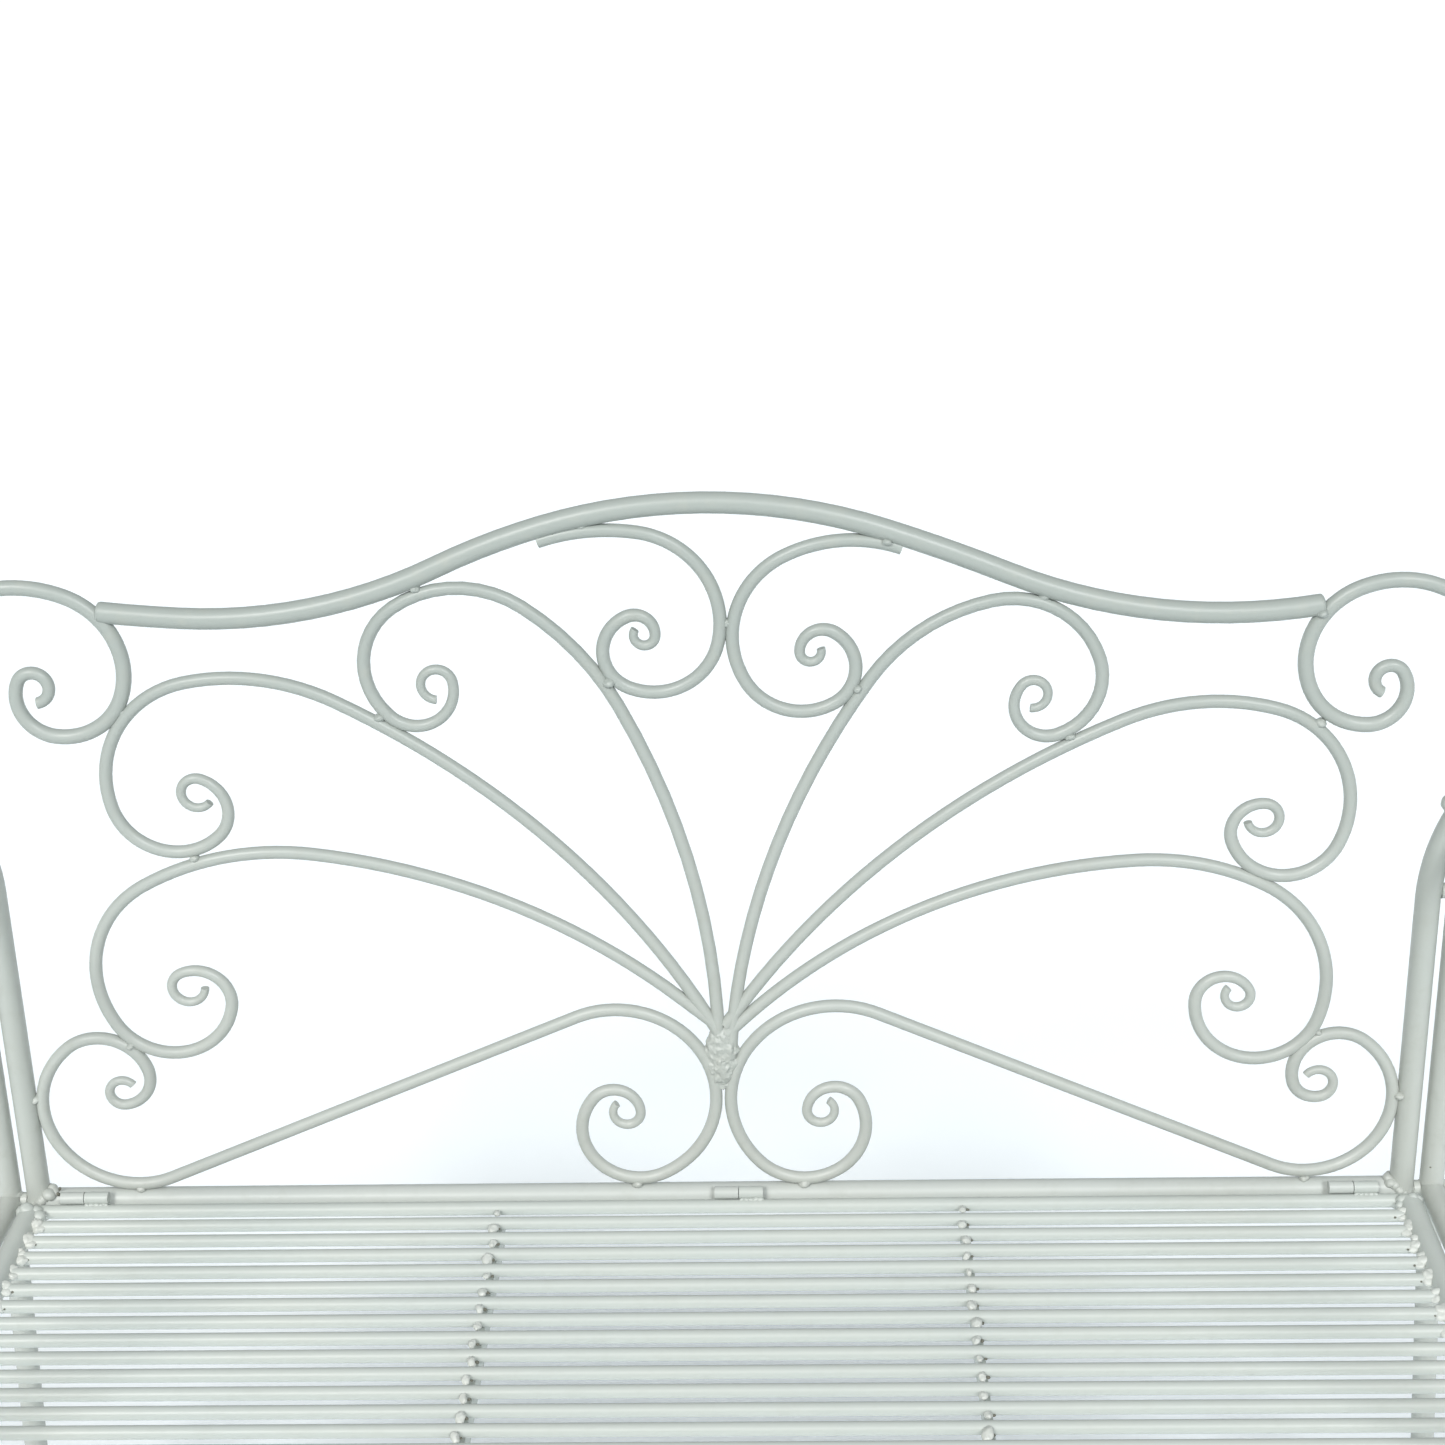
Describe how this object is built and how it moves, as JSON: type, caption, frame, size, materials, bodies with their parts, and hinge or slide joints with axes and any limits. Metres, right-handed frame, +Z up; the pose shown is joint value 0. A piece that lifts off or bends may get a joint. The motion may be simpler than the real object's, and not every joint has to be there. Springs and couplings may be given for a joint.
{
  "type": "daybed",
  "caption": "Scrollwork iron daybed with a fan of bent rods for a back, a hinged seat of round rods, and bent-tube arms and legs.",
  "frame": {"origin": "on the floor under the middle of the bounding box", "axes": "+X along the back towards the right arm, +Y to the rear, +Z up; the front is -Y"},
  "size_m": [1.2414, 0.5044, 1.0043],
  "materials": {
    "frame_paint": "semi-gloss white paint",
    "seat_paint": "semi-gloss white paint",
    "pin_steel": "bare turned steel",
    "foot_plastic": "matte pale grey plastic"
  },
  "bodies": {
    "frame": {"back_bottom_rail": "frame_paint", "back_post_left": "frame_paint", "back_post_right": "frame_paint", "base_scroll_left": "frame_paint", "base_scroll_right": "frame_paint", "corner_scroll_left": "frame_paint", "corner_scroll_right": "frame_paint", "crest_scroll_left": "frame_paint", "crest_scroll_right": "frame_paint", "foot_caps": "foot_plastic", "hinge_barrels_back": "frame_paint", "hinge_pins": "pin_steel", "hub_weld": "frame_paint", "lower_feather_scroll_left": "frame_paint", "lower_feather_scroll_right": "frame_paint", "middle_feather_scroll_left": "frame_paint", "middle_feather_scroll_right": "frame_paint", "seat_rest_tabs": "frame_paint", "side_bolts": "frame_paint", "side_hoop_left": "frame_paint", "side_hoop_right": "frame_paint", "side_rail_left": "frame_paint", "side_rail_right": "frame_paint", "side_rivet_nuts": "pin_steel", "side_spacers": "frame_paint", "side_stretcher_left": "frame_paint", "side_stretcher_right": "frame_paint", "top_rail": "frame_paint", "upper_feather_scroll_left": "frame_paint", "upper_feather_scroll_right": "frame_paint"},
    "seat": {"hinge_barrels_seat": "seat_paint", "seat_cross_bar_left": "seat_paint", "seat_cross_bar_right": "seat_paint", "seat_front_rail": "seat_paint", "seat_rear_rail": "seat_paint", "seat_rod_01": "seat_paint", "seat_rod_02": "seat_paint", "seat_rod_03": "seat_paint", "seat_rod_04": "seat_paint", "seat_rod_05": "seat_paint", "seat_rod_06": "seat_paint", "seat_rod_07": "seat_paint", "seat_rod_08": "seat_paint", "seat_rod_09": "seat_paint", "seat_rod_10": "seat_paint", "seat_rod_11": "seat_paint", "seat_rod_12": "seat_paint", "seat_rod_13": "seat_paint", "seat_rod_14": "seat_paint", "seat_rod_15": "seat_paint", "seat_rod_16": "seat_paint", "seat_rod_17": "seat_paint", "seat_rod_18": "seat_paint", "seat_rod_19": "seat_paint", "seat_rod_20": "seat_paint", "seat_side_tube_left": "seat_paint", "seat_side_tube_right": "seat_paint"}
  },
  "joints": [
    {"name": "seat_fold", "type": "hinge", "parent": "frame", "child": "seat", "pos_m": [0, 0.20262, 0.4291], "axis": [-1, 0, 0], "range_deg": [0, 85]}
  ]
}
